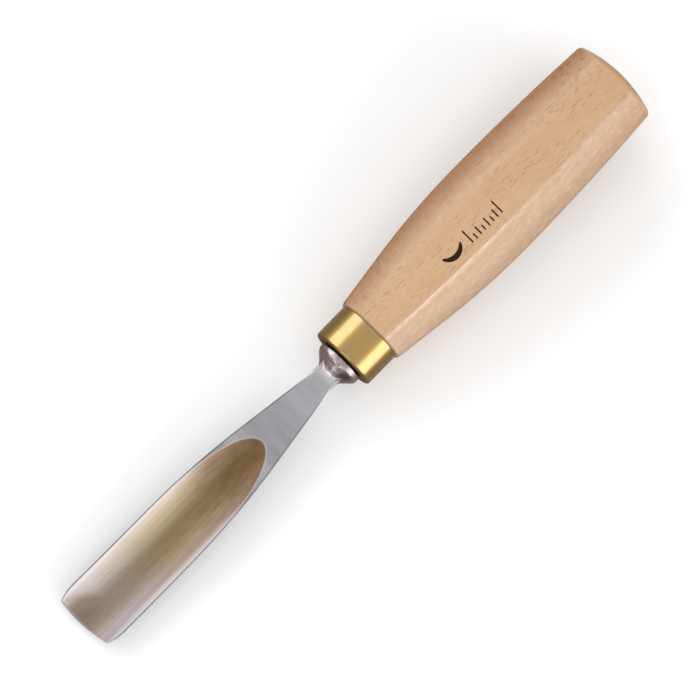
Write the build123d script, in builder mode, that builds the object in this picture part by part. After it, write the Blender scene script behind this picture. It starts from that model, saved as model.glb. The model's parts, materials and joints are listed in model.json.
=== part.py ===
from build123d import *
import os
from math import asin, atan2, cos, degrees, hypot, sin, sqrt

# Carving gouge, lying on a bench with its channel up. Millimetres.
# Each piece is drawn along the tool: x runs from the cutting edge to the striking end, y across the
# blade and z out of the channel. x = 0 is the cutting edge, and z = 0 is the handle's centre line.
length = 200.0           # cutting edge to the top of the dome

# Blade in plan view
edge_half = 8.0          # half the cutting edge's width
blade_half = 9.08        # half the blade's full width
ease_length = 6.0        # the sides ease in over this much before the edge
side_draft = 0.2         # each side draws in by this much from there to the knee
knee_x = 48.5            # where the parallel side and the tapering side would meet
knee_radius = 240.0
neck_x = 88.0            # end of the taper
neck_half = 3.3

# Blade in section and from the side
channel_radius = 12.5    # the sweep of the gouge
channel_depth = 3.6
wall = 2.3               # thickness of the blade under the channel
flat_z = 2.7             # the ground flat on top
bevel_length = 5.4
exit_x = 66.5            # where the channel runs out on the flat
exit_radius = 150.0      # curve of the channel's floor up to that point
exit_overrun = 1.5       # the curve is cut this many times longer, to end clear of the steel

# Bolster
neck_radius = 3.2
flare_x = 90.9           # where the bell starts to open, at 45 degrees
rim_radius = 6.5
flare_round = 1.5        # rounding where the neck opens into the bell
rim_round = 0.6          # rounding where the bell meets the rim
seat_x = 96.1            # the face that bears on the ferrule
seat_radius = 5.5
seat_gap = 0.4           # the rim stands this far off the ferrule
scoop_x = 89.2           # the ground flat ends in a scoop that starts here
scoop_radius = 2.2

# Tang, square and tapered
tang_length = 60.0
tang_root = 6.0
tang_tip = 3.0

# Ferrule
ferrule_length = 10.4
ferrule_radius = 9.225
ferrule_wall = 1.0
ferrule_round = 0.8
ferrule_hole = 4.4

# Handle: each point is a place along the tool and half the distance across the flats there
shoulder_x = seat_x + ferrule_length
shoulder_half = 9.95
shoulder_drop = 0.5      # the shoulder's front edges are rounded off by this much
shoulder_round = 1.8     # over this length
flare_end = (122.3, 12.07)
belly = (151.5, 14.0)
butt = (201.0, 12.35)
facet_count = 8
crown_radius = 45.0      # the facets are a little round across, with this radius at the belly
dome_radius = 36.0
blank_radius = 20.0      # clear of every facet

# Worked out: the channel is part of a cylinder whose axis lies above the blade
channel_axis_z = flat_z - channel_depth + channel_radius
back_radius = channel_radius + wall
run_out = sqrt(exit_radius**2 - (exit_radius - channel_depth) ** 2)

# Worked out: where the handle's blank meets the dome, and where its first facet line starts
dome_x = length - dome_radius
dome_start = (dome_x + sqrt(dome_radius**2 - blank_radius**2), blank_radius)
shoulder_front = (shoulder_x, shoulder_half - shoulder_drop)
flare_slope = (flare_end[1] - shoulder_half) / (flare_end[0] - shoulder_x)
flare_start = (shoulder_x + shoulder_round, shoulder_half + flare_slope * shoulder_round)

# One facet of the handle seen from the side, from the shoulder past the striking end
with BuildLine() as facet_line:
    TangentArc(flare_start, shoulder_front, tangent=(-1, -flare_slope))
    flare = Line(flare_start, flare_end)
    rise = TangentArc(flare @ 1, belly, tangent=flare % 1)
    fall = TangentArc(rise @ 1, butt, tangent=(1, 0))

# The pose: the heel of the bevel and the belly of the lower facet touch the bench. The bench is the
# line through the heel that is tangent to the belly's arc, whose centre lies above the tool.
heel_z = channel_axis_z - back_radius
reach_x = rise.arc_center.X - bevel_length
reach_z = -rise.arc_center.Y - heel_z
tilt = asin(rise.radius / hypot(reach_x, reach_z)) - atan2(reach_z, reach_x)
along = Vector(cos(tilt), 0, sin(tilt))
upward = Vector(-sin(tilt), 0, cos(tilt))

# The origin is on the bench, under the middle of the box around the tool
wing_z = channel_axis_z - sqrt(channel_radius**2 - edge_half**2)
box_start = -wing_z * sin(tilt)
box_end = dome_x * cos(tilt) + dome_radius
edge_height = -bevel_length * sin(tilt) - heel_z * cos(tilt)
edge_point = Vector(-(box_start + box_end) / 2, 0, edge_height)
plan = Plane(origin=edge_point, x_dir=along, z_dir=upward)


def lengthwise(turn=0):
    """The plane through the centre line that has x along the tool and y upward, turned about x."""
    outward = upward.rotate(Axis((0, 0, 0), along), turn)
    return Plane(origin=edge_point, x_dir=along, z_dir=along.cross(outward))


def across(x):
    """The plane across the tool at x, which has x across the blade and y upward."""
    return Plane(origin=edge_point + along * x, x_dir=(0, 1, 0), z_dir=along)


def line_along(plane, y):
    """The line along the tool at this y in a lengthwise plane."""
    return Axis(plane.from_local_coords((0, y, 0)), along)


centre_line = line_along(lengthwise(), 0)
channel_axis = line_along(lengthwise(), channel_axis_z)

# The tang's shape, which is also the shape of the hole that it makes in the handle
with BuildPart() as tang:
    with BuildSketch(across(seat_x)) as root:
        Rectangle(tang_root, tang_root)
    with BuildSketch(across(seat_x + tang_length)) as tip:
        Rectangle(tang_tip, tang_tip)
    loft()

# Blade: blade, shank, bolster and tang are one forging
with BuildPart() as blade:
    # The outline in plan, from below the back up to the ground flat
    with BuildSketch(plan.offset(heel_z - wall)) as outline:
        with BuildLine():
            ease = TangentArc((ease_length, blade_half), (0, edge_half), tangent=(-1, 0))
            side = FilletPolyline(
                (ease_length, blade_half),
                (knee_x, blade_half - side_draft),
                (neck_x, neck_half),
                radius=knee_radius,
            )
            Polyline((neck_x, neck_half), (seat_x, neck_half), (seat_x, 0), (0, 0), (0, edge_half))
        make_face()
        mirror(about=Plane.XZ)
    extrude(amount=flat_z - heel_z + wall)

    # The back and the bevel are round about the channel's axis
    with BuildSketch(lengthwise()) as back:
        with BuildLine():
            Polyline(
                (0, channel_axis_z),
                (0, channel_axis_z - channel_radius),
                (bevel_length, heel_z),
                (seat_x, heel_z),
                (seat_x, channel_axis_z),
                close=True,
            )
        make_face()
    revolve(axis=channel_axis, mode=Mode.INTERSECT)

    # The channel runs straight and then curves up through the flat
    with BuildLine(lengthwise()) as channel_path:
        run = Line((-wall, channel_axis_z), (exit_x - run_out, channel_axis_z))
        JernArc(
            start=run @ 1,
            tangent=(1, 0),
            radius=exit_radius - channel_radius,
            arc_size=degrees(asin(run_out / exit_radius)) * exit_overrun,
        )
    with BuildSketch(across(-wall)) as bore:
        with Locations((0, channel_axis_z)):
            Circle(channel_radius)
    sweep(path=channel_path.line, mode=Mode.SUBTRACT)

    # Bolster: a bell that opens at 45 degrees to a rim, with a narrower seat behind it
    with BuildSketch(lengthwise()) as bell:
        with BuildLine():
            FilletPolyline(
                (scoop_x, 0),
                (scoop_x, neck_radius),
                (flare_x, neck_radius),
                (flare_x + rim_radius - neck_radius, rim_radius),
                (seat_x - seat_gap, rim_radius),
                (seat_x - seat_gap, seat_radius),
                (seat_x, seat_radius),
                (seat_x, 0),
                radius=(0, flare_round, rim_round, 0, 0, 0),
            )
            Line((seat_x, 0), (scoop_x, 0))
        make_face()
    revolve(axis=centre_line)

    # The grinding of the flat runs out in a scoop in the front of the bell
    with BuildSketch(lengthwise()) as scoop:
        with BuildLine():
            floor = Line((neck_x - scoop_radius, flat_z), (scoop_x, flat_z))
            rim_side = TangentArc(
                floor @ 1, (scoop_x + scoop_radius, flat_z + scoop_radius), tangent=(1, 0)
            )
            Polyline(rim_side @ 1, (neck_x - scoop_radius, flat_z + scoop_radius), floor @ 0)
        make_face()
    extrude(amount=blade_half, both=True, mode=Mode.SUBTRACT)

    add(tang.part)

# Ferrule: a drawn cup, its end wall to the front
with BuildPart() as ferrule:
    with BuildSketch(across(seat_x)) as outside:
        Circle(ferrule_radius)
    extrude(amount=ferrule_length)
    front = ferrule.faces().sort_by(centre_line)[0]
    fillet(front.edges(), radius=ferrule_round)
    with BuildSketch(across(seat_x + ferrule_wall)) as inside:
        Circle(ferrule_radius - ferrule_wall)
    extrude(amount=ferrule_length - ferrule_wall, mode=Mode.SUBTRACT)
    with BuildSketch(across(seat_x)) as opening:
        Circle(ferrule_hole)
    extrude(amount=ferrule_wall, mode=Mode.SUBTRACT)

# Handle
with BuildPart() as handle:
    # The blank, with the dome of the striking end
    with BuildSketch(lengthwise()) as blank:
        with BuildLine():
            Polyline(dome_start, (shoulder_x, blank_radius), (shoulder_x, 0), (length, 0))
            RadiusArc(dome_start, (length, 0), radius=dome_radius)
        make_face()
    revolve(axis=centre_line)

    # Each facet is round about its own line, far below the centre line
    for number in range(facet_count):
        facet_plane = lengthwise(number * 360 / facet_count)
        depth = belly[1] - crown_radius
        with BuildSketch(facet_plane) as facet:
            with BuildLine():
                add(facet_line.line)
                Polyline(butt, (butt[0], depth), (shoulder_x, depth), shoulder_front)
            make_face()
        revolve(axis=line_along(facet_plane, depth), mode=Mode.INTERSECT)

    # The spigot fills the ferrule
    with BuildSketch(across(seat_x + ferrule_wall)) as spigot:
        Circle(ferrule_radius - ferrule_wall)
    extrude(amount=ferrule_length - ferrule_wall)

    add(tang.part, mode=Mode.SUBTRACT)

os.makedirs("parts", exist_ok=True)
blade.part.label = "blade"
ferrule.part.label = "ferrule"
handle.part.label = "handle"
export_step(blade.part, "parts/blade.step")
export_step(ferrule.part, "parts/ferrule.step")
export_step(handle.part, "parts/handle.step")
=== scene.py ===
import json
from math import asin, atan2, cos, hypot, pi, radians, sin, sqrt, tan

import bmesh
import bpy
import numpy as np
from mathutils import Matrix, Vector


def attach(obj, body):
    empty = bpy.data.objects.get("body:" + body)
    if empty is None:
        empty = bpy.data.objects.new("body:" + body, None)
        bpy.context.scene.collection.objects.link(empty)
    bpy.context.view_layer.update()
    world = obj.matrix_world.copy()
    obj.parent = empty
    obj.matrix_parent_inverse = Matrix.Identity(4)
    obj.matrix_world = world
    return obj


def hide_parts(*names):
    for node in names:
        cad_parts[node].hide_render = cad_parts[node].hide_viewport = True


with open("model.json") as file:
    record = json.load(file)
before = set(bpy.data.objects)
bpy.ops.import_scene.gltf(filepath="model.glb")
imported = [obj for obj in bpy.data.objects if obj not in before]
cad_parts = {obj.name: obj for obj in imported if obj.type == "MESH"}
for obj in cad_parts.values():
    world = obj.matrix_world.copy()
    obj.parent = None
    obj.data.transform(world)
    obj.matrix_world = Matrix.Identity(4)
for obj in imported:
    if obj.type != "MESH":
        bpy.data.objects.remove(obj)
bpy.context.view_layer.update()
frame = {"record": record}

# A carving gouge lying on a bench with its channel up. Each piece's mesh is drawn along the tool, in
# millimetres: x from the cutting edge to the striking end, y across, z out of the channel.
MM = 0.001
LENGTH = 200.0

mounts = {mount["name"]: mount for mount in frame["record"]["mounts"]}
ALONG = Vector(mounts["striking_end"]["axis"]).normalized()
ACROSS = Vector((0.0, 1.0, 0.0))
OUTWARD = ALONG.cross(ACROSS)
EDGE_POINT = Vector(mounts["striking_end"]["pos_m"]) - ALONG * LENGTH * MM
TOOL = Matrix.Translation(EDGE_POINT) @ Matrix((ALONG, ACROSS, OUTWARD)).transposed().to_4x4()

# Blade
EDGE_HALF = 8.0
BLADE_HALF = 9.08
EASE_LENGTH = 6.0
EDGE_SKEW = 0.35    # the tip is bent this far to +y, over SKEW_LENGTH
SKEW_LENGTH = 30.0
EDGE_NOSE = 0.5     # the edge falls back by this much at one EDGE_HALF from NOSE_Y
NOSE_Y = 2.3
HONED_LENGTH = 0.5
KNEE = (48.5, 8.88)
KNEE_RADIUS = 240.0
NECK = (88.0, 3.3)
CHANNEL_RADIUS = 12.5
CHANNEL_DEPTH = 3.6
WALL = 2.3
FLAT_Z = 2.7
BEVEL_LENGTH = 5.4
TOP_BREAK = 0.12
LOW_BREAK = 0.4
EXIT_X = 66.5
EXIT_RADIUS = 150.0
CHANNEL_AXIS_Z = FLAT_Z - CHANNEL_DEPTH + CHANNEL_RADIUS
RUN_OUT = sqrt(EXIT_RADIUS**2 - (EXIT_RADIUS - CHANNEL_DEPTH) ** 2)

# Bolster and tang
NECK_RADIUS = 3.2
FLARE_X = 90.9
RIM_RADIUS = 6.5
SEAT_X = 96.1
SEAT_RADIUS = 5.5
RIM_END = SEAT_X - 0.4
RIM_START = RIM_END - 1.4
BELL_LEAN = 0.33    # the bell opens this much sooner on the -y side
SCOOP_X = 89.2
SCOOP_RADIUS = 2.2
SCOOP_LEAD = 0.8    # the scoop starts this much sooner at the shank's sides
RIDGE_ANGLE = pi / 2 + 0.02
RIDGE_HEIGHT = 0.6
RIDGE_KNOT_X = 91.9
RIDGE_KNOT_GAP = 1.6
RIDGE_KNOT_HEIGHT = 0.22
HOLLOW_ANGLE = pi / 2 + 0.8
HOLLOW_DEPTH = 0.6
TANG_LENGTH = 60.0
TANG_ROOT = 3.0
TANG_TIP = 1.5

# Ferrule
FERRULE_RADIUS = mounts["ferrule_seat"]["dims"]["r_mm"]
FERRULE_LENGTH = 10.4
FERRULE_WALL = 1.0
FERRULE_ROUND = 0.8
FERRULE_BREAK = 0.1
FERRULE_HOLE = 4.4

# Handle
SHOULDER = (SEAT_X + FERRULE_LENGTH, 9.95)
FLARE_END = (122.3, 12.07)
BELLY = (151.5, 14.0)
BUTT = (201.0, 12.35)
FACETS = 8
CROWN_RADIUS = 45.0
CROWN_DROP = CROWN_RADIUS - BELLY[1]    # the facets' crowns are centred this far past the middle
DOME_RADIUS = 36.0
DOME_X = LENGTH - DOME_RADIUS
DOME_BREAK = 1.0
ARRIS_BREAK = 0.22
SHOULDER_INSET = 0.5
SHOULDER_BREAK = 1.8

# How finely the meshes are drawn: steps round a section, and then rings along the tool
CHANNEL_STEPS = 64
LAND_STEPS = 4
SIDE_STEPS = 16
BEVEL_RINGS = 11
CHANNEL_RINGS = 62
EXIT_RINGS = 13
EXIT_SPACING = 0.045
BODY_RINGS = 90
DOME_RINGS = 21
MERGE = 2e-4

# The shank's rings turn from the blade's section to the bell's between JOIN_X and the neck's end,
# and their points become even round the tool between ROUND_START and ROUND_END
JOIN_X = 80.0
FORGED_X = 90.6
ROUND_START = 92.3
ROUND_END = 95.3
FAR = 1e-4          # keeps a division by a sine or cosine from reaching zero


def smooth_min(a, b, width):
    """The smaller of two arrays, with the corner between them rounded over this width."""
    h = np.maximum(width - np.abs(a - b), 0.0) / width
    return np.minimum(a, b) - h * h * width / 4


def smooth_max(a, b, width):
    return -smooth_min(-a, -b, width)


def smooth_step(x, start, end):
    """0 up to the start, 1 from the end on, and an even curve between them."""
    t = np.clip((x - start) / (end - start), 0.0, 1.0)
    return t * t * (3 - 2 * t)


def arc_through(start, slope, end):
    """Centre and radius of the arc from start, leaving at this slope, to end, curving down."""
    dx, dy = end[0] - start[0], end[1] - start[1]
    turn = atan2(slope, 1) - atan2(dy, dx)
    radius = hypot(dx, dy) / (2 * sin(turn))
    heading = atan2(slope, 1)
    return start[0] + radius * sin(heading), start[1] - radius * cos(heading), radius


# The handle's outline: half the distance across its flats, along the tool
FLARE_SLOPE = (FLARE_END[1] - SHOULDER[1]) / (FLARE_END[0] - SHOULDER[0])
RISE = arc_through(FLARE_END, FLARE_SLOPE, BELLY)
FALL = arc_through(BELLY, 0.0, BUTT)


def half_across_flats(x):
    line = SHOULDER[1] + FLARE_SLOPE * (x - SHOULDER[0])
    rise, fall = (
        arc[1] + np.sqrt(np.maximum(arc[2] ** 2 - (x - arc[0]) ** 2, 0.0)) for arc in (RISE, FALL)
    )
    return np.where(x < FLARE_END[0], line, np.where(x < BELLY[0], rise, fall))


def crowned_facet(half, angle):
    """Distance from the centre line to a facet's round face, at this angle from its middle."""
    radius = CROWN_DROP + half
    return np.sqrt(radius**2 - (CROWN_DROP * np.sin(angle)) ** 2) - CROWN_DROP * np.cos(angle)


def handle_radius(x, angle):
    """Distance from the centre line to the octagon with crowned facets and soft arrises."""
    half = half_across_flats(x)
    step = 2 * pi / FACETS
    off = np.abs((angle + step / 2) % step - step / 2)
    return smooth_min(crowned_facet(half, off), crowned_facet(half, step - off), ARRIS_BREAK)


# The blade's outline in plan, along the tool
KNEE_IN = atan2(BLADE_HALF - KNEE[1], KNEE[0] - EASE_LENGTH)
KNEE_OUT = atan2(KNEE[1] - NECK[1], NECK[0] - KNEE[0])
KNEE_SPAN = KNEE_RADIUS * tan((KNEE_OUT - KNEE_IN) / 2)


def half_width(x):
    ease_radius = (EASE_LENGTH**2 + (BLADE_HALF - EDGE_HALF) ** 2) / (2 * (BLADE_HALF - EDGE_HALF))
    ease = BLADE_HALF - ease_radius + np.sqrt(ease_radius**2 - np.minimum(x - EASE_LENGTH, 0) ** 2)
    parallel = BLADE_HALF - (x - EASE_LENGTH) * tan(KNEE_IN)
    taper = KNEE[1] - (x - KNEE[0]) * tan(KNEE_OUT)
    start = KNEE[0] - KNEE_SPAN * cos(KNEE_IN)
    centre_x = start - KNEE_RADIUS * sin(KNEE_IN)
    centre_y = KNEE[1] + KNEE_SPAN * sin(KNEE_IN) - KNEE_RADIUS * cos(KNEE_IN)
    knee = centre_y + np.sqrt(np.maximum(KNEE_RADIUS**2 - (x - centre_x) ** 2, 0.0))
    end = KNEE[0] + KNEE_SPAN * cos(KNEE_OUT)
    outline = np.where(x < start, parallel, np.where(x < end, knee, np.maximum(taper, NECK[1])))
    return np.where(x < EASE_LENGTH, ease, outline)


def channel_depth(x):
    rise = EXIT_RADIUS - np.sqrt(EXIT_RADIUS**2 - np.maximum(x - (EXIT_X - RUN_OUT), 0.0) ** 2)
    return np.maximum(CHANNEL_DEPTH - rise, 0.0)


def back_radius(x):
    return CHANNEL_RADIUS + WALL * np.minimum(x / BEVEL_LENGTH, 1.0)


def flat_height(x, across=0.0):
    """Height of the ground flat, and of the scoop that it ends in, earlier at the sides."""
    start = SCOOP_X - SCOOP_LEAD * np.minimum(np.abs(across) / NECK[1], 1.0) ** 2
    reach = np.clip(x - start, 0.0, SCOOP_RADIUS)
    height = FLAT_Z + SCOOP_RADIUS - np.sqrt(SCOOP_RADIUS**2 - reach**2)
    return np.where(x < start + SCOOP_RADIUS * 0.999, height, 2 * RIM_RADIUS)


def lobe(angle, middle, width):
    """1 at this angle round the tool, falling smoothly to 0 on both sides."""
    off = (angle - middle + pi) % (2 * pi) - pi
    return np.exp(-((off / width) ** 2))


def bolster_radius(x, angle):
    """A forged bell that opens at 45 degrees, a little sooner on the -y side. The hammer left a
    ridge up its front, with small knots on it, a hollow beside the ridge and soft flats."""
    x = x - BELL_LEAN * np.cos(angle)
    bell = smooth_max(np.full_like(x, NECK_RADIUS), NECK_RADIUS + x - FLARE_X, 0.9)
    bell = smooth_min(bell, np.full_like(x, RIM_RADIUS), 0.5)
    flare = smooth_step(x, FLARE_X - 0.6, FLARE_X + 0.9) * (1 - smooth_step(x, RIM_START - 1, RIM_START))
    knots = RIDGE_KNOT_HEIGHT * np.cos(2 * pi * (x - RIDGE_KNOT_X) / RIDGE_KNOT_GAP)
    ridge = (RIDGE_HEIGHT + knots) * lobe(angle, RIDGE_ANGLE, 0.2)
    hollow = HOLLOW_DEPTH * lobe(angle, HOLLOW_ANGLE, 0.3)
    flats = 0.16 * np.cos(5 * angle + 0.6) + 0.09 * np.cos(3 * angle - 0.8 + 0.8 * (x - FLARE_X))
    return bell + flare * (ridge - hollow + flats)


def square_radius(half, angle):
    side = np.maximum(np.abs(np.cos(angle)), np.abs(np.sin(angle)))
    return half / side


def shank_body(x, angle):
    """Distance from the centre line to the shank and bolster before the flat is ground."""
    sides = half_width(x) / np.maximum(np.abs(np.cos(angle)), FAR)
    axis_z, outer = CHANNEL_AXIS_Z, back_radius(x)
    back = axis_z * np.sin(angle) + np.sqrt(outer**2 - (axis_z * np.cos(angle)) ** 2)
    flat = FLAT_Z / np.maximum(np.sin(angle), FAR)
    neck = smooth_min(smooth_min(sides, back, 0.5), flat, 0.2)
    return smooth_max(neck, bolster_radius(x, angle), 0.7)


def ground_cut(x, angle):
    """Distance from the centre line to the ground flat and the scoop that it ends in."""
    rise = np.maximum(np.sin(angle), FAR)
    return flat_height(x, FLAT_Z * np.cos(angle) / rise) / rise


def edge_skew(x):
    """How far the blade is bent to +y here."""
    return EDGE_SKEW * np.maximum(1 - x / SKEW_LENGTH, 0) ** 2


def hollow_section(x):
    """The blade's section, as (y, z) points from the channel's -y rim: over the channel, the
    land and the side at +y, under the back and up again."""
    depth, half, outer = float(channel_depth(x)), float(half_width(x)), float(back_radius(x))
    past_exit = float(smooth_step(x, EXIT_X, EXIT_X + 6)) * half * 0.8
    mouth = max(min(sqrt(2 * CHANNEL_RADIUS * depth - depth**2), half), past_exit)
    rim_z = FLAT_Z if mouth < half else CHANNEL_AXIS_Z - sqrt(CHANNEL_RADIUS**2 - half**2)
    low_z = CHANNEL_AXIS_Z - sqrt(outer**2 - half**2)
    top_break = min(TOP_BREAK, (half - mouth) / 3, (rim_z - low_z) / 3)
    low_break = min(LOW_BREAK, (rim_z - low_z) / 3)
    turn = np.linspace(-1, 1, CHANNEL_STEPS + 1)
    across = asin(mouth / CHANNEL_RADIUS) * turn
    floor_axis = FLAT_Z - depth + CHANNEL_RADIUS
    channel_z = np.minimum(floor_axis - CHANNEL_RADIUS * np.cos(across), FLAT_Z)
    channel = np.c_[CHANNEL_RADIUS * np.sin(across), channel_z]
    land = np.linspace(mouth, half - top_break, LAND_STEPS + 1)[1:]
    side = np.linspace(rim_z - top_break, low_z + low_break, SIDE_STEPS + 1)
    flank = np.r_[np.c_[land, np.full_like(land, rim_z)], np.c_[np.full_like(side, half), side]]
    under = asin((half - low_break / 2) / outer) * -turn
    back = np.c_[outer * np.sin(under), CHANNEL_AXIS_Z - outer * np.cos(under)]
    return np.r_[channel, flank, back, (flank * (-1, 1))[::-1]]


def ring(x, section):
    """A section's points placed at x along the tool."""
    return np.c_[np.broadcast_to(x, len(section)), section]


def polar_ring(x, angle, radius):
    return np.c_[np.broadcast_to(x, len(angle)), radius * np.cos(angle), radius * np.sin(angle)]


GROUND_ZONE, CHANNEL_ZONE, FORGED_ZONE = range(3)


def blade_rings():
    """The blade's rings, and the zone of each face between them."""
    run_out = EXIT_X - EXIT_SPACING * np.arange(EXIT_RINGS)[::-1] ** 2
    hollow_x = np.r_[
        np.linspace(0, 1, BEVEL_RINGS) ** 1.5 * BEVEL_LENGTH,
        np.linspace(BEVEL_LENGTH + 0.15, run_out[0] - 1, CHANNEL_RINGS),
        run_out,
        np.linspace(EXIT_X + 0.5, JOIN_X, 5),
    ]

    # The blade, with its edge a little out of square
    rings = []
    for x in hollow_x:
        section = hollow_section(x)
        off_nose = (section[:, 0] - NOSE_Y) / EDGE_HALF
        nose = EDGE_NOSE * off_nose**2 * max(1 - x / EASE_LENGTH, 0) ** 2
        section[:, 0] += edge_skew(x)
        rings.append(ring(x + nose, section))
    count = len(rings[0])
    even = pi / 2 + (CHANNEL_STEPS / 2 - np.arange(count)) * 2 * pi / count
    in_channel = np.arange(count) < CHANNEL_STEPS
    zones = [np.where(in_channel & (x < EXIT_X), CHANNEL_ZONE, GROUND_ZONE) for x in hollow_x]

    # The shank, which turns little by little into the bolster
    shank_x = np.r_[np.arange(JOIN_X + 1, NECK[0], 0.5), np.arange(NECK[0], RIM_END - 0.2, 0.08)]
    for x in shank_x:
        section = hollow_section(min(x, NECK[0]))
        angle = np.unwrap(np.arctan2(section[:, 1], section[:, 0]))
        angle += 2 * pi * np.round((even[0] - angle[0]) / (2 * pi))
        angle += (even - angle) * smooth_step(x, ROUND_START, ROUND_END)
        near = np.hypot(section[:, 0], section[:, 1])
        place = np.full(count, x)
        body, cut = shank_body(place, angle), ground_cut(place, angle)
        soft = 0.12 + 0.2 * smooth_step(x, NECK[0] + 1, FORGED_X)
        radius = near + (smooth_min(body, cut, soft) - near) * smooth_step(x, JOIN_X, NECK[0])
        rings.append(polar_ring(x, angle, radius))
        zones.append(np.full(count, GROUND_ZONE if x < FORGED_X else FORGED_ZONE))

    # The rim's rounded rear edge, the seat and the tang
    for inset, x in ((0.02, RIM_END - 0.15), (0.08, RIM_END - 0.04), (0.2, RIM_END)):
        rings.append(polar_ring(x, even, np.full(count, RIM_RADIUS - inset)))
    for x in (RIM_END, SEAT_X):
        rings.append(polar_ring(x, even, np.full(count, SEAT_RADIUS)))
    for x in np.linspace(SEAT_X, SEAT_X + TANG_LENGTH, 9):
        half = TANG_ROOT + (TANG_TIP - TANG_ROOT) * (x - SEAT_X) / TANG_LENGTH
        rings.append(polar_ring(x, even, square_radius(half, even)))
    zones += [np.full(count, FORGED_ZONE)] * (len(rings) - len(zones))
    return rings, np.array(zones[:-1])


def ferrule_rings(steps=128):
    """The drawn cup: around the outside, over the rear edge and back up the inside."""
    turn = np.linspace(0, pi / 2, 7)
    outline = [(SEAT_X, FERRULE_HOLE)] + [
        (SEAT_X + FERRULE_ROUND * (1 - cos(t)), FERRULE_RADIUS - FERRULE_ROUND * (1 - sin(t)))
        for t in turn
    ]
    rear = SEAT_X + FERRULE_LENGTH
    bore = FERRULE_RADIUS - FERRULE_WALL
    outline += [(x, FERRULE_RADIUS) for x in np.linspace(SEAT_X + 1, rear - FERRULE_BREAK, 12)]
    outline += [(rear, FERRULE_RADIUS - FERRULE_BREAK), (rear, bore)]
    outline += [(SEAT_X + FERRULE_WALL, bore), (SEAT_X + FERRULE_WALL, FERRULE_HOLE)]
    angle = np.arange(steps) * 2 * pi / steps
    return [polar_ring(x, angle, np.full(steps, radius)) for x, radius in outline]


def handle_angles(per_facet=20):
    """Angles round the handle, close together at the arrises."""
    step = 2 * pi / FACETS
    spread = np.sin(np.linspace(-pi / 2, pi / 2, per_facet + 1)[:-1]) * step / 2
    return np.concatenate([number * step + spread for number in range(FACETS)])


def handle_rings():
    """From the tang's hole out over the spigot, the shoulder, the facets and the dome."""
    angle = handle_angles()
    count = len(angle)
    hole_root = TANG_ROOT + (TANG_TIP - TANG_ROOT) * FERRULE_WALL / TANG_LENGTH
    spigot_x = SEAT_X + FERRULE_WALL
    spigot = np.full(count, FERRULE_RADIUS - FERRULE_WALL)
    rings = [
        polar_ring(SEAT_X + TANG_LENGTH, angle, square_radius(TANG_TIP, angle)),
        polar_ring(spigot_x, angle, square_radius(hole_root, angle)),
        polar_ring(spigot_x, angle, spigot),
        polar_ring(SHOULDER[0], angle, spigot),
    ]
    for t in np.linspace(0, 1, 9):
        inset = SHOULDER_INSET * (1 - t) ** 2
        x = SHOULDER[0] + SHOULDER_BREAK * t**2
        rings.append(polar_ring(x, angle, handle_radius(np.full(count, x), angle) - inset))

    # The dome's edge lies where its sphere meets the facets, which a few turns of this loop find
    edge_x = np.full(count, LENGTH - 2.5)
    for _ in range(8):
        edge_x = DOME_X + np.sqrt(DOME_RADIUS**2 - handle_radius(edge_x, angle) ** 2)
    edge_r = handle_radius(edge_x, angle)
    outer_x = edge_x - DOME_BREAK
    outer_r = handle_radius(outer_x, angle)
    inner_r = edge_r - DOME_BREAK
    inner_x = DOME_X + np.sqrt(DOME_RADIUS**2 - inner_r**2)

    body_start = SHOULDER[0] + 1.3 * SHOULDER_BREAK
    for t in np.linspace(0, 1, BODY_RINGS):
        x = body_start + (outer_x - body_start) * t
        rings.append(polar_ring(x, angle, handle_radius(x, angle)))
    for t in np.linspace(0, 1, 7)[1:]:
        weights = (1 - t) ** 2, 2 * t * (1 - t), t**2
        x = weights[0] * outer_x + weights[1] * edge_x + weights[2] * inner_x
        radius = weights[0] * outer_r + weights[1] * edge_r + weights[2] * inner_r
        rings.append(polar_ring(x, angle, radius))
    for t in np.linspace(1, 0, DOME_RINGS + 1)[1:]:
        radius = inner_r * t
        rings.append(polar_ring(DOME_X + np.sqrt(DOME_RADIUS**2 - radius**2), angle, radius))
    return rings


def on_tool(name, mesh):
    """A piece from a mesh drawn along the tool in millimetres, put in its place in the frame."""
    place = mesh.attributes.new("place", "FLOAT_VECTOR", "POINT")
    for vertex, value in zip(mesh.vertices, place.data):
        value.vector = vertex.co
    mesh.transform(TOOL @ Matrix.Scale(MM, 4))
    piece = bpy.data.objects.new(name, mesh)
    bpy.context.scene.collection.objects.link(piece)
    return piece


def loft(name, rings, zones=None, closed=False, crease=25):
    """A closed mesh through the rings, whose faces take the material of their zone. Points that
    meet are merged. Each vertex keeps its place on the tool, in millimetres, for the patterns."""
    mesh = bpy.data.meshes.new(name)
    count = len(rings[0])
    points = np.concatenate(rings)
    faces = []
    for row in range(len(rings) if closed else len(rings) - 1):
        near, far = row * count, (row + 1) % len(rings) * count
        faces += [
            (near + i, near + (i + 1) % count, far + (i + 1) % count, far + i) for i in range(count)
        ]
    mesh.from_pydata(points.tolist(), [], faces)
    if zones is not None:
        mesh.polygons.foreach_set("material_index", zones.ravel())
    shape = bmesh.new()
    shape.from_mesh(mesh)
    bmesh.ops.remove_doubles(shape, verts=shape.verts, dist=MERGE)
    holes = [edge for edge in shape.edges if edge.is_boundary]
    if holes:
        bmesh.ops.holes_fill(shape, edges=holes, sides=0)
    bmesh.ops.dissolve_degenerate(shape, edges=shape.edges, dist=MERGE)
    bmesh.ops.recalc_face_normals(shape, faces=shape.faces)
    for face in shape.faces:
        face.smooth = True
    for edge in shape.edges:
        edge.smooth = edge.calc_face_angle(0.0) < radians(crease)
    shape.to_mesh(mesh)
    shape.free()
    return on_tool(name, mesh)


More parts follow.
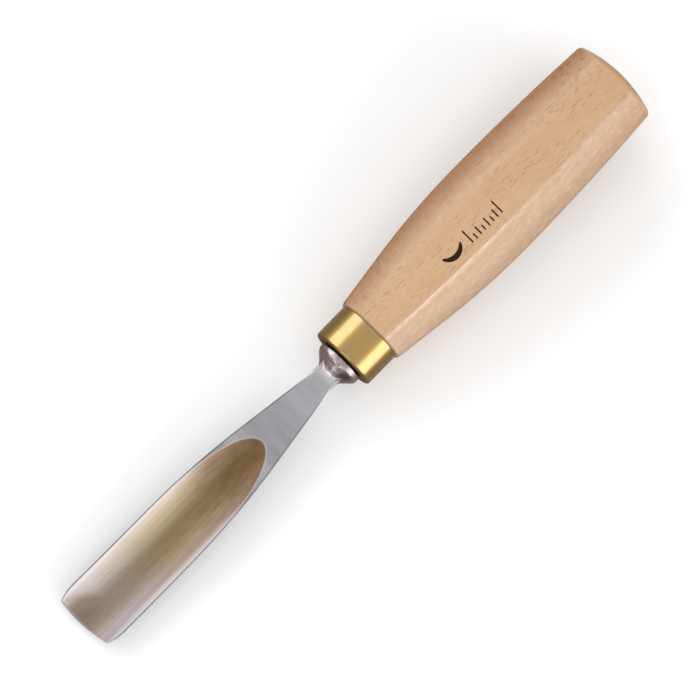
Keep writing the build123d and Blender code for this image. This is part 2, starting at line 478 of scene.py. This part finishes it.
def mark_sides(blade):
    """Stores each point's distance in from the blade's side, in millimetres, for the steels."""
    places = np.empty(3 * len(blade.data.vertices), np.float32)
    blade.data.attributes["place"].data.foreach_get("vector", places)
    x, y, _ = places.reshape(-1, 3).T
    inset = half_width(np.minimum(x, NECK[0])) - np.abs(y - edge_skew(x))
    blade.data.attributes.new("inset", "FLOAT", "POINT").data.foreach_set("value", inset)


def stand_for(piece, node):
    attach(piece, "root")
    if node:
        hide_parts(node)


# Materials. Patterns are laid out on the tool in millimetres, at their real size.


def new_material(name):
    material = bpy.data.materials.new(name)
    material.use_nodes = True
    tree = material.node_tree
    return material, tree, tree.nodes["Principled BSDF"]


def connect(tree, socket, value):
    """Gives an input a value, or the output of another node."""
    if isinstance(value, bpy.types.NodeSocket):
        tree.links.new(value, socket)
    else:
        socket.default_value = value


def add(tree, kind, inputs=None, **settings):
    made = tree.nodes.new(kind)
    for key, value in settings.items():
        setattr(made, key, value)
    for key, value in (inputs or {}).items():
        connect(tree, made.inputs[key], value)
    return made


def finish(tree, shader, **inputs):
    """Sets the shader's inputs, named with underscores."""
    for key, value in inputs.items():
        connect(tree, shader.inputs[key.replace("_", " ")], value)


def place_on_tool(tree):
    return add(tree, "ShaderNodeAttribute", attribute_name="place").outputs["Vector"]


def parts_of(tree, vector):
    return add(tree, "ShaderNodeSeparateXYZ", {0: vector}).outputs


def laid_out(tree, place, size, shift=(0, 0, 0), turn=0.0):
    """A pattern's coordinates: the place in units of this size, turned about the tool."""
    settings = {"Vector": place, "Scale": size, "Location": shift, "Rotation": (turn, 0, 0)}
    return add(tree, "ShaderNodeMapping", settings, vector_type="TEXTURE").outputs[0]


def noise(tree, place, size, detail=3.0, rough=0.55, shift=(0, 0, 0), turn=0.0):
    """A cloudy pattern from 0 to 1, mostly 0.3 to 0.7, with clouds of this size."""
    settings = {"Vector": laid_out(tree, place, size, shift, turn), "Scale": 1.0}
    settings.update({"Detail": detail, "Roughness": rough})
    return add(tree, "ShaderNodeTexNoise", settings).outputs["Fac"]


def remap(tree, value, low, high, to_low=0.0, to_high=1.0, smooth=False):
    """Goes from to_low to to_high as the value goes from low to high, and holds still outside."""
    settings = {"Value": value, 1: low, 2: high, 3: to_low, 4: to_high}
    kind = "SMOOTHSTEP" if smooth else "LINEAR"
    return add(tree, "ShaderNodeMapRange", settings, interpolation_type=kind).outputs[0]


def arith(tree, operation, a, b=0.0):
    return add(tree, "ShaderNodeMath", {0: a, 1: b}, operation=operation).outputs[0]


def times(tree, a, b):
    return arith(tree, "MULTIPLY", a, b)


def plus(tree, a, b):
    return arith(tree, "ADD", a, b)


def minus(tree, a, b):
    return arith(tree, "SUBTRACT", a, b)


def higher(tree, a, b):
    return arith(tree, "MAXIMUM", a, b)


def band(tree, value, middle, half):
    """0 below the middle and 1 above it, over this half width on each side."""
    return remap(tree, value, middle - half, middle + half)


def mix(tree, factor, a, b, blend="MIX"):
    """Colour a where the factor is 0, and colour b where it is 1."""
    inputs = {0: factor, 6: a, 7: b}
    return add(tree, "ShaderNodeMix", inputs, data_type="RGBA", blend_type=blend).outputs[2]


def srgb(red, green, blue):
    """A colour given from 0 to 255, as the linear values that shaders take."""
    values = [c / 255 for c in (red, green, blue)]
    return tuple(c / 12.92 if c < 0.04045 else ((c + 0.055) / 1.055) ** 2.4 for c in values) + (1,)


def bump(tree, height, depth_mm, strength=1.0):
    settings = {"Height": height, "Strength": strength, "Distance": depth_mm * MM}
    return add(tree, "ShaderNodeBump", settings).outputs[0]


def dot(tree, direction):
    """How squarely the surface faces this direction: 1 faces it, -1 faces away."""
    normal = add(tree, "ShaderNodeNewGeometry").outputs["Normal"]
    inputs = {0: normal, 1: tuple(direction)}
    return add(tree, "ShaderNodeVectorMath", inputs, operation="DOT_PRODUCT").outputs["Value"]


def facing(tree, direction):
    """The same for this direction or its opposite, 0 to 1."""
    return arith(tree, "ABSOLUTE", dot(tree, direction))


# The growth rings lie across the upper facet at this angle, and the rays stand square to them
GRAIN_TURN = radians(15)
THROUGH_RAYS = OUTWARD * sin(GRAIN_TURN) - ACROSS * cos(GRAIN_TURN)


def arris_highlight(tree, place, clouds):
    """A painted highlight: a paler line along the upper arris of the -y facet, where it catches the
    light, which fades out past the belly.
    """
    arris = pi / FACETS
    x, y, z = parts_of(tree, place)
    turn = arith(tree, "ARCTAN2", times(tree, y, -1.0), z)
    glint = remap(tree, turn, arris + radians(1), arris + radians(9), 1.0, 0.0, smooth=True)
    glint = times(tree, glint, band(tree, turn, arris, radians(0.3)))
    glint = times(tree, glint, remap(tree, clouds, 0.35, 0.6, 0.45, 1.0))
    return times(tree, glint, remap(tree, x, 135.0, 165.0, 0.6, 0.1, smooth=True))


def ray_dashes(tree, grain, along_rays):
    """The rays' ends, in bunches, on the faces that cut the rays."""
    cells = add(
        tree,
        "ShaderNodeTexVoronoi",
        {"Vector": laid_out(tree, grain, (3.3, 0.42, 3.6), turn=GRAIN_TURN), "Scale": 1.0},
    )
    bunches = noise(tree, grain, (13, 3.5, 8), detail=1.0, shift=(9, 2, 60))
    size = remap(tree, bunches, 0.34, 0.6, 0.14, 0.34)
    dashes = remap(tree, minus(tree, size, cells.outputs["Distance"]), 0.0, 0.09)
    return times(tree, dashes, minus(tree, 1.0, times(tree, along_rays, along_rays)))


def beech():
    """Straight-grained beech. Its rays are thin upright sheets: short dark dashes on the faces
    that cut them, cloudy flecks on the faces that they lie along."""
    material, tree, shader = new_material("beech")
    place = place_on_tool(tree)
    wander = add(
        tree,
        "ShaderNodeTexNoise",
        {"Vector": laid_out(tree, place, (55, 18, 18)), "Scale": 1.0, "Detail": 1.0},
    ).outputs["Color"]
    centred = add(tree, "ShaderNodeVectorMath", {0: wander, 1: (0.5, 0.5, 0.5)}, operation="SUBTRACT")
    bend = add(
        tree,
        "ShaderNodeVectorMath",
        {0: centred.outputs[0], 1: (0, 7, 7), 2: place},
        operation="MULTIPLY_ADD",
    )
    grain = bend.outputs[0]

    rings = noise(tree, grain, (90, 14, 2.6), detail=2.0, turn=GRAIN_TURN)
    fibres = noise(tree, grain, (7, 0.28, 0.28), detail=3.0, rough=0.6)
    pores = noise(tree, grain, (1.3, 0.11, 0.11), detail=2.0)
    clouds = noise(tree, grain, (2.2, 0.9, 5.0), detail=3.0, shift=(31, 7, 3), turn=GRAIN_TURN)
    patches = noise(tree, grain, (22, 7, 7), detail=2.0, shift=(4, 80, 15))
    along_rays = facing(tree, THROUGH_RAYS)
    end_grain = remap(tree, facing(tree, ALONG), 0.6, 0.9, smooth=True)

    straw, pink = srgb(198, 165, 130), srgb(199, 171, 148)
    dark, pale, ray = srgb(188, 146, 106), srgb(230, 200, 172), srgb(146, 104, 64)
    colour = mix(tree, remap(tree, along_rays, 0.3, 0.85), straw, pink)
    colour = mix(tree, remap(tree, rings, 0.4, 0.7, 0.0, 0.42), colour, dark)
    colour = mix(tree, remap(tree, patches, 0.3, 0.7, 0.3, 0.0), colour, dark)
    colour = mix(tree, remap(tree, fibres, 0.45, 0.75, 0.0, 0.42), colour, dark)
    colour = mix(tree, remap(tree, fibres, 0.4, 0.15, 0.0, 0.3), colour, pale)
    flecks = times(tree, remap(tree, clouds, 0.48, 0.72), along_rays)
    colour = mix(tree, times(tree, flecks, 0.4), colour, pale)
    shades = times(tree, remap(tree, clouds, 0.44, 0.2), along_rays)
    colour = mix(tree, times(tree, shades, 0.3), colour, dark)
    dashes = ray_dashes(tree, grain, along_rays)
    colour = mix(tree, times(tree, dashes, 0.58), colour, ray)

    # Painted shade: the side facets are darkened, most towards the outline, more on the +y side
    sideways = dot(tree, ACROSS)
    side_shade = higher(
        tree, remap(tree, sideways, 0.655, 0.765), remap(tree, sideways, -0.71, -0.77, 0.0, 0.45)
    )
    colour = mix(tree, side_shade, colour, (0.63, 0.51, 0.41, 1), blend="MULTIPLY")
    # Painted highlight along the upper arris of the -y facet
    colour = mix(tree, arris_highlight(tree, place, clouds), colour, srgb(238, 214, 198))

    # A dark seam against the ferrule, and end grain at the striking end
    seam = remap(tree, parts_of(tree, place)[0], SHOULDER[0] + 0.1, SHOULDER[0] + 0.45, 0.85, 0.0)
    colour = mix(tree, seam, colour, srgb(92, 60, 36))
    ends = mix(tree, remap(tree, pores, 0.35, 0.65), srgb(194, 154, 118), srgb(216, 180, 144))
    colour = mix(tree, times(tree, end_grain, 0.65), colour, ends)

    height = plus(tree, times(tree, fibres, 0.7), times(tree, pores, 0.5))
    height = minus(tree, height, times(tree, dashes, 0.35))
    finish(tree, shader, Base_Color=colour, Normal=bump(tree, height, 0.03, 0.6))
    finish(tree, shader, Roughness=remap(tree, fibres, 0.3, 0.8, 0.46, 0.6), Specular_IOR_Level=0.3)
    return material


def from_centre_line(tree, place):
    across = add(tree, "ShaderNodeVectorMath", {0: place, 1: (0, 1, 1)}, operation="MULTIPLY")
    inputs = {0: across.outputs[0]}
    return add(tree, "ShaderNodeVectorMath", inputs, operation="LENGTH").outputs["Value"]


def tangent(tree, direction):
    """This direction in the frame, for a turned metal's stretched highlights."""
    return add(tree, "ShaderNodeCombineXYZ", dict(enumerate(direction))).outputs[0]


def brass():
    """Turned and lacquered brass with fine lines round it and a little tarnish."""
    material, tree, shader = new_material("satin_brass")
    place = place_on_tool(tree)
    lines = noise(tree, place, (0.09, 2.5, 2.5), detail=3.0, rough=0.7)
    tarnish = noise(tree, place, (3.0, 2.2, 2.2), detail=4.0)
    specks = noise(tree, place, (0.35, 0.3, 0.3), detail=2.0, shift=(3, 8, 1))
    colour = mix(tree, remap(tree, tarnish, 0.3, 0.72), srgb(185, 147, 30), srgb(175, 133, 22))
    colour = mix(tree, remap(tree, specks, 0.66, 0.78, 0.0, 0.5), colour, srgb(128, 92, 48))
    colour = mix(tree, remap(tree, lines, 0.35, 0.75, 0.0, 0.25), colour, srgb(160, 122, 62))

    # Its front rounding is dull and its rear edge is dark. Painted shadow: the front face is darkened
    # round the bolster, where the rim shades it
    x = parts_of(tree, place)[0]
    dull = remap(tree, x, SEAT_X + 0.15, SEAT_X + 0.7, 0.75, 0.0)
    colour = mix(tree, dull, colour, srgb(116, 84, 50))
    rear = SEAT_X + FERRULE_LENGTH
    colour = mix(tree, remap(tree, x, rear - 0.35, rear - 0.1, 0.0, 0.75), colour, srgb(92, 60, 30))
    front = remap(tree, x, SEAT_X + 0.03, SEAT_X + 0.25, 1.0, 0.0)
    rim_shadow = remap(tree, from_centre_line(tree, place), FERRULE_RADIUS - 0.8, RIM_RADIUS + 0.8)
    colour = mix(tree, times(tree, front, rim_shadow), colour, srgb(38, 22, 12))

    rough = plus(tree, remap(tree, tarnish, 0.3, 0.7, 0.3, 0.38), times(tree, dull, 0.3))
    finish(tree, shader, Base_Color=colour, Metallic=1.0, Normal=bump(tree, lines, 0.004))
    finish(tree, shader, Roughness=rough, Anisotropic=0.4, Tangent=tangent(tree, ALONG))
    finish(tree, shader, Coat_Weight=minus(tree, 1.0, dull), Coat_IOR=2.12, Coat_Roughness=0.17)
    return material


SIDE_LINE = (0.12, 0.42)   # the dark line at the blade's sides fades out between these insets
PASS_X = 79.0              # the grinder's passes over the flat: the middle of a pale one
PASS_GAP = 17.0


def dark_sides(tree, colour, x):
    """Darkens a steel in a thin line along the blade's sides, fading out towards the neck."""
    inset = add(tree, "ShaderNodeAttribute", attribute_name="inset").outputs["Fac"]
    line = remap(tree, inset, *SIDE_LINE, 0.85, 0.0)
    line = times(tree, line, remap(tree, x, NECK[0] - 8, NECK[0], 1.0, 0.0))
    return mix(tree, line, colour, srgb(96, 95, 98))


def ground_steel():
    """The flat and the back: fine grinding lines across the blade."""
    material, tree, shader = new_material("ground_steel")
    place = place_on_tool(tree)
    lines = noise(tree, place, (0.16, 5.0, 5.0), detail=4.0, rough=0.7)
    passes = noise(tree, place, (5.0, 30.0, 30.0), detail=2.0, shift=(5, 9, 2))
    x, y, _ = parts_of(tree, place)
    wave = arith(tree, "COSINE", times(tree, minus(tree, x, PASS_X), 2 * pi / PASS_GAP))
    passes = plus(tree, passes, times(tree, wave, 0.12))
    colour = mix(tree, remap(tree, passes, 0.3, 0.7), srgb(163, 161, 166), srgb(192, 189, 194))

    # Painted highlight: the steel is painted brighter towards the scoop, most of all along the shank's
    # edges, where the scoop and the rounded edges catch the light
    edges = remap(tree, arith(tree, "ABSOLUTE", y), 0.8, NECK[1] - 0.1, smooth=True)
    edges = times(tree, edges, remap(tree, x, NECK[0] - 6, NECK[0] + 0.5, 0.0, 0.5, smooth=True))
    middle = remap(tree, x, NECK[0] - 5, SCOOP_X + 0.3, 0.0, 0.4, smooth=True)
    colour = mix(tree, higher(tree, edges, middle), colour, srgb(226, 222, 226))
    colour = mix(tree, remap(tree, lines, 0.4, 0.75, 0.0, 0.2), colour, srgb(140, 136, 142))
    colour = dark_sides(tree, colour, x)
    finish(tree, shader, Base_Color=colour, Metallic=1.0, Normal=bump(tree, lines, 0.006))
    rough = remap(tree, lines, 0.3, 0.7, 0.3, 0.42)
    rough = plus(tree, rough, remap(tree, x, NECK[0], SCOOP_X + 0.5, 0.0, 0.22))
    finish(tree, shader, Roughness=rough)
    return material


def channel_steel():
    """The hollow: brushed lengthwise and honed bright at the edge. Its colour holds a painted reflection
    of a warm room: plain near the edge and bronze further in, deepest where it runs out. Less of the
    warm tint is on its walls, and the +y wall is painted lighter where it catches the light."""
    material, tree, shader = new_material("channel_steel")
    place = place_on_tool(tree)
    x, y, z = parts_of(tree, place)
    brushing = noise(tree, place, (14.0, 0.16, 0.16), detail=4.0, rough=0.7)
    streaks = noise(tree, place, (30.0, 0.9, 0.9), detail=2.0, shift=(2, 5, 7))
    mottle = noise(tree, place, (4.0, 1.6, 1.6), detail=3.0, shift=(20, 5, 7))

    # Painted reflection: a warm bronze that deepens along the channel towards its run-out
    drift = plus(tree, x, remap(tree, streaks, 0.3, 0.7, -3.0, 3.0))
    to_straw = remap(tree, drift, 8.0, 34.0, smooth=True)
    to_bronze = remap(tree, drift, 33.0, 60.0, smooth=True)

    def warm_reflection(plain, straw, bronze):
        return mix(tree, to_bronze, mix(tree, to_straw, plain, straw), bronze)

    colour = warm_reflection(srgb(157, 143, 130), srgb(154, 131, 97), srgb(116, 90, 60))
    # Painted light: the +y wall is lighter, and the -y wall keeps less of the warm tint
    near_edge = remap(tree, x, 2.0, 9.0, 6.5, 0.0)
    left = remap(tree, minus(tree, y, near_edge), 0.3, 4.2, smooth=True)
    lit_wall_colour = warm_reflection(srgb(186, 180, 174), srgb(191, 173, 145), srgb(128, 104, 80))
    colour = mix(tree, left, colour, lit_wall_colour)
    right = remap(tree, y, -1.5, -6.5, smooth=True)
    right_tint = warm_reflection(srgb(158, 150, 154), srgb(149, 131, 117), srgb(119, 98, 80))
    colour = mix(tree, right, colour, right_tint)
    rubbed = times(tree, remap(tree, x, 9.0, 2.0, 0.0, 0.4), remap(tree, y, -4.0, 0.0))
    colour = mix(tree, rubbed, colour, srgb(112, 97, 86))
    colour = mix(tree, remap(tree, streaks, 0.35, 0.7, 0.0, 0.17), colour, srgb(120, 98, 74))
    colour = mix(tree, remap(tree, mottle, 0.35, 0.75, 0.0, 0.16), colour, srgb(190, 168, 140))
    colour = mix(tree, remap(tree, brushing, 0.4, 0.75, 0.0, 0.22), colour, srgb(104, 86, 68))

    # Painted highlights: bright rims where the walls catch the light, wider on the +y side, and a bright
    # lip where the channel breaks out in the flat. Then the honed edge
    rim = remap(tree, arith(tree, "ABSOLUTE", y), 6.8, 8.6, 0.0, 0.7, smooth=True)
    upper = remap(tree, y, 4.6, 8.2, 0.0, 0.32, smooth=True)
    rim = higher(tree, rim, times(tree, upper, remap(tree, x, 40.0, 52.0, 1.0, 0.3)))
    colour = mix(tree, rim, colour, srgb(214, 211, 214))
    lip_highlight = remap(tree, z, FLAT_Z - 0.16, FLAT_Z - 0.02)
    lip_highlight = times(tree, lip_highlight, remap(tree, x, 30.0, 50.0, 0.0, 0.65))
    colour = mix(tree, lip_highlight, colour, srgb(206, 202, 208))
    colour = dark_sides(tree, colour, x)
    honed = remap(tree, x, HONED_LENGTH, HONED_LENGTH + 0.25, 1.0, 0.0)
    colour = mix(tree, honed, colour, srgb(150, 146, 152))
    finish(tree, shader, Base_Color=colour, Metallic=1.0, Normal=bump(tree, brushing, 0.005))
    finish(tree, shader, Roughness=remap(tree, brushing, 0.3, 0.7, 0.5, 0.62))
    return material


SCALE_PLACE = (92.9, -3.4, 3.6)


def forged_steel():
    """The bolster: hammered and tumbled, with a thin dark scale in its hollows."""
    material, tree, shader = new_material("forged_steel")
    place = place_on_tool(tree)
    hammer = noise(tree, place, (1.3, 1.3, 1.3), detail=1.0)
    scale = noise(tree, place, (0.5, 0.5, 0.5), detail=4.0, shift=(2, 2, 2))
    colour = mix(tree, remap(tree, hammer, 0.35, 0.65), srgb(168, 155, 159), srgb(188, 177, 181))
    colour = mix(tree, remap(tree, scale, 0.5, 0.8, 0.0, 0.4), colour, srgb(98, 85, 87))
    from_scale = add(tree, "ShaderNodeVectorMath", {0: place, 1: SCALE_PLACE}, operation="DISTANCE")
    in_hollow = remap(tree, from_scale.outputs["Value"], 0.6, 2.8, 0.8, 0.0, smooth=True)
    colour = mix(tree, in_hollow, colour, srgb(88, 88, 86))
    x = parts_of(tree, place)[0]
    # Painted highlight: the forged steel is painted brighter where it starts, in the scoop that catches
    # the light
    bright = remap(tree, x, FORGED_X, FORGED_X + 0.9, 1.0, 0.0)
    colour = mix(tree, bright, colour, srgb(194, 189, 193))
    # Painted shade: a dark line at the rim's rear edge, in the gap before the ferrule
    colour = mix(tree, band(tree, x, RIM_END, 0.05), colour, srgb(40, 28, 24))
    height = plus(tree, times(tree, hammer, 0.8), times(tree, scale, 0.15))
    finish(tree, shader, Base_Color=colour, Metallic=1.0, Normal=bump(tree, height, 0.1, 0.7))
    finish(tree, shader, Roughness=remap(tree, scale, 0.3, 0.75, 0.26, 0.4))
    return material


def burnt_mark():
    material, tree, shader = new_material("burnt_mark")
    char = noise(tree, place_on_tool(tree), (0.3, 0.3, 0.3), detail=3.0)
    colour = mix(tree, remap(tree, char, 0.3, 0.7), srgb(22, 13, 9), srgb(46, 28, 18))
    finish(tree, shader, Base_Color=colour, Normal=bump(tree, char, 0.02))
    finish(tree, shader, Roughness=0.7, Specular_IOR_Level=0.15)
    return material


BEECH = beech()
BRASS = brass()
GROUND = ground_steel()
CHANNEL = channel_steel()
FORGED = forged_steel()
BURNT = burnt_mark()

# Pieces
blade_shape, blade_zones = blade_rings()
blade = loft("blade_forging", blade_shape, blade_zones)
mark_sides(blade)
for steel in (GROUND, CHANNEL, FORGED):
    blade.data.materials.append(steel)
stand_for(blade, "blade")

ferrule = loft("ferrule_cup", ferrule_rings(), closed=True)
ferrule.data.materials.append(BRASS)
stand_for(ferrule, "ferrule")

handle = loft("handle_body", handle_rings(), crease=50)
handle.data.materials.append(BEECH)
stand_for(handle, "handle")

# The mark on the upper facet: an arc that stands for the sweep of the edge, and a short rule
MARK_Y = -1.0
MARK_HEIGHT = 4.2
STROKE = 0.42
INK_ABOVE = 0.012
INK_BELOW = 0.06


def stroke(name, path, widths):
    """A thin inlay along a path of (x, y) points on the upper facet, as wide as it says there."""
    path = np.array(path, float)
    ahead, behind = np.roll(path, -1, axis=0), np.roll(path, 1, axis=0)
    ahead[-1], behind[0] = path[-1], path[0]
    heading = ahead - behind
    side = np.c_[-heading[:, 1], heading[:, 0]] / np.hypot(*heading.T)[:, None]
    half = np.broadcast_to(np.asarray(widths, float) / 2, len(path))[:, None]
    rings = []
    for offset, height in ((1, INK_ABOVE), (-1, INK_ABOVE), (-1, -INK_BELOW), (1, -INK_BELOW)):
        x, y = (path + side * half * offset).T
        facet = np.sqrt((CROWN_DROP + half_across_flats(x)) ** 2 - y**2) - CROWN_DROP
        rings.append(np.c_[x, y, facet + height])
    mark = loft(name, list(np.stack(rings, axis=1)))
    mark.data.materials.append(BURNT)
    stand_for(mark, None)


SWEEP_X = 134.6
SWEEP_RADIUS = 3.6
SWEEP_HALF_ANGLE = radians(62)
SWEEP_THIN, SWEEP_THICK = 0.5, 1.5
turns = np.linspace(-1, 1, 41)
sweep_path = np.c_[
    SWEEP_X + SWEEP_RADIUS * np.sin(SWEEP_HALF_ANGLE * turns),
    MARK_Y + 0.6 * SWEEP_RADIUS - SWEEP_RADIUS * np.cos(SWEEP_HALF_ANGLE * turns),
]
stroke("mark_sweep", sweep_path, SWEEP_THIN + (SWEEP_THICK - SWEEP_THIN) * (1 - turns**2))

RULE_START = 140.2
RULE_STEP = 1.55
RULE_TICKS = 8
RULE_FOOT = MARK_Y - MARK_HEIGHT / 2
for tick in range(RULE_TICKS):
    x = RULE_START + tick * RULE_STEP
    tall = MARK_HEIGHT if tick % (RULE_TICKS - 1) == 0 else MARK_HEIGHT * (0.62, 0.4)[tick % 2]
    tick_path = [(x, RULE_FOOT + tall * t) for t in np.linspace(0, 1, 12)]
    stroke("mark_tick_%d" % (tick + 1), tick_path, STROKE)

# Floor, lights and camera. The floor isn't seen in reflections, and the room is lighter above
# than below, which gives round metal its dark lower edges.
FLOOR_HALF = 60.0
floor_mesh = bpy.data.meshes.new("floor")
floor_corners = [(-1, -1, 0), (1, -1, 0), (1, 1, 0), (-1, 1, 0)]
floor_mesh.from_pydata([Vector(corner) * FLOOR_HALF for corner in floor_corners], [], [range(4)])
floor = bpy.data.objects.new("floor", floor_mesh)
bpy.context.scene.collection.objects.link(floor)
pale, pale_tree, pale_shader = new_material("pale_floor")
finish(pale_tree, pale_shader, Base_Color=srgb(251, 251, 251), Roughness=0.8)
floor.data.materials.append(pale)
floor.visible_glossy = False
floor.visible_diffuse = False
floor.visible_shadow = False

LIGHT_DISTANCE = 2.45
HORIZON = (-0.25, 0.15)    # the room grows lighter and less warm between these heights


def soft_light(name, bearing, from_vertical, size, radiance):
    """A rectangular softbox aimed at the tool. Its bearing is the way that it lies from there, and
    its size is in metres."""
    data = bpy.data.lights.new(name, "AREA")
    data.shape = "RECTANGLE"
    data.size, data.size_y = size
    data.energy = radiance * pi * size[0] * size[1]
    light = bpy.data.objects.new(name, data)
    towards = Vector(bearing) * sin(from_vertical) + Vector((0, 0, cos(from_vertical)))
    light.location = towards * LIGHT_DISTANCE
    light.rotation_euler = towards.to_track_quat("Z", "Y").to_euler()
    light.visible_camera = False
    bpy.context.scene.collection.objects.link(light)


soft_light("left_softbox", (0, 1, 0), radians(60.5), (3.3, 1.8), 1.78)
soft_light("right_softbox", (0, -1, 0), radians(72), (3.3, 1.8), 2.15)
soft_light("front_softbox", (-1, 0, 0), radians(66), (1.4, 1.5), 2.3)

world = bpy.data.worlds.new("studio")
world.use_nodes = True
world_tree = world.node_tree
direction = add(world_tree, "ShaderNodeTexCoord").outputs["Generated"]
height = parts_of(world_tree, direction)[2]
glow = remap(world_tree, height, *HORIZON, 0.32, 0.76)
tint = mix(world_tree, remap(world_tree, height, *HORIZON), (1.0, 0.87, 0.76, 1), (1, 1, 1, 1))
connect(world_tree, world_tree.nodes["Background"].inputs["Color"], tint)
connect(world_tree, world_tree.nodes["Background"].inputs["Strength"], glow)
bpy.context.scene.world = world
bpy.context.scene.view_settings.view_transform = "Standard"

# The camera looks down on the tool from a little towards its edge, through a long lens
CAMERA_LEAN = radians(11.0)
CAMERA_DISTANCE = 3.0
TOOL_SLOPE_IN_VIEW = radians(45.7)
VIEW_WIDTH = 180.925    # of the tool's surroundings, in millimetres
look_at = TOOL @ (Vector((99.4, 0.29, 0)) * MM)
back = Vector((-sin(CAMERA_LEAN), 0, cos(CAMERA_LEAN)))
seen_along = (Vector((1, 0, 0)) - back * back.x).normalized()
seen_across = back.cross(seen_along)
right = seen_along * cos(TOOL_SLOPE_IN_VIEW) - seen_across * sin(TOOL_SLOPE_IN_VIEW)
up = back.cross(right)
camera_data = bpy.data.cameras.new("camera")
camera_data.sensor_width = 36
camera_data.lens = camera_data.sensor_width * CAMERA_DISTANCE / (VIEW_WIDTH * MM)
camera = bpy.data.objects.new("camera", camera_data)
bpy.context.scene.collection.objects.link(camera)
camera.matrix_world = Matrix.Translation(look_at + back * CAMERA_DISTANCE) @ Matrix(
    (right, up, back)
).transposed().to_4x4()
bpy.context.scene.camera = camera
